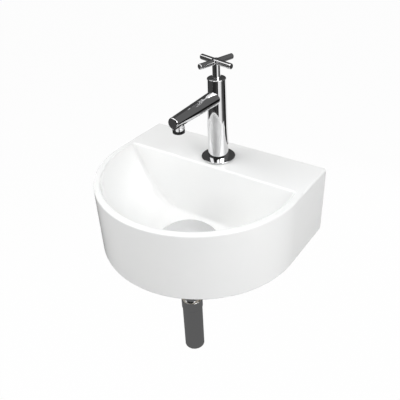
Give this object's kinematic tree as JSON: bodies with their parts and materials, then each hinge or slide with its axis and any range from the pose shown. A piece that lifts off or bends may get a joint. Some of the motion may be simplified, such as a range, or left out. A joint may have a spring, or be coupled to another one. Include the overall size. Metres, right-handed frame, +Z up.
{
  "type": "cloakroom basin",
  "caption": "Wall-hung half-round ceramic basin with a cross-handle pillar tap, a push-open waste and a straight tail tube.",
  "frame": {"origin": "on the wall face, midway between the two fixing holes, 35 mm below the rim", "axes": "+Z up, +Y into the wall, -Y to the front of the half-round, +X to the right for someone who faces the wall"},
  "size_m": [0.3, 0.246, 0.4664],
  "materials": {
    "vitreous_white": "white glaze over fired clay, high gloss",
    "polished_chrome": "bright chrome plate, polished",
    "raw_brass": "turned brass, unplated",
    "black_rubber": "moulded rubber, matt",
    "valve_ceramic": "lapped ceramic, satin",
    "moulded_plastic": "moulded plastic, satin",
    "steel_plate": "rolled steel, brushed"
  },
  "bodies": {
    "basin": {"basin_body": "vitreous_white", "tap_base_seal": "black_rubber", "tap_base_rosette": "polished_chrome", "tap_body": "polished_chrome", "tap_spout": "polished_chrome", "aerator_housing": "polished_chrome", "aerator_insert": "moulded_plastic", "aerator_seal": "black_rubber", "inlet_shank": "raw_brass", "deck_washer": "black_rubber", "backing_plate": "steel_plate", "shank_backnut": "raw_brass", "disc_seal": "black_rubber", "fixed_ceramic_disc": "valve_ceramic", "headwork_bush": "raw_brass", "bonnet_ring": "polished_chrome", "flange_seal": "black_rubber", "waste_body": "polished_chrome", "waste_under_seal": "black_rubber", "waste_backnut": "raw_brass", "click_cartridge": "moulded_plastic", "plug_spring": "steel_plate", "plug_seal": "black_rubber", "coupling_washer": "black_rubber", "coupling_nut": "polished_chrome", "upper_tail_tube": "polished_chrome", "slip_oring": "black_rubber", "slip_collar": "polished_chrome", "lower_tail_tube": "polished_chrome"},
    "handle": {"handle_hub": "polished_chrome", "handle_arms": "polished_chrome", "handle_grub_screw": "steel_plate", "spindle": "raw_brass", "spindle_oring": "black_rubber", "moving_ceramic_disc": "valve_ceramic"},
    "plug": {"plug_cap": "polished_chrome", "plug_stem": "raw_brass"}
  },
  "joints": [
    {"name": "handle_turn", "type": "hinge", "parent": "basin", "child": "handle", "pos_m": [0, -0.047, 0.1795], "axis": [0, 0, 1], "range_deg": [0, 90]},
    {"name": "plug_lift", "type": "slide", "parent": "basin", "child": "plug", "axis": [0, 0, 1], "range_m": [0, 0.007], "deforming": ["plug_spring"]}
  ]
}
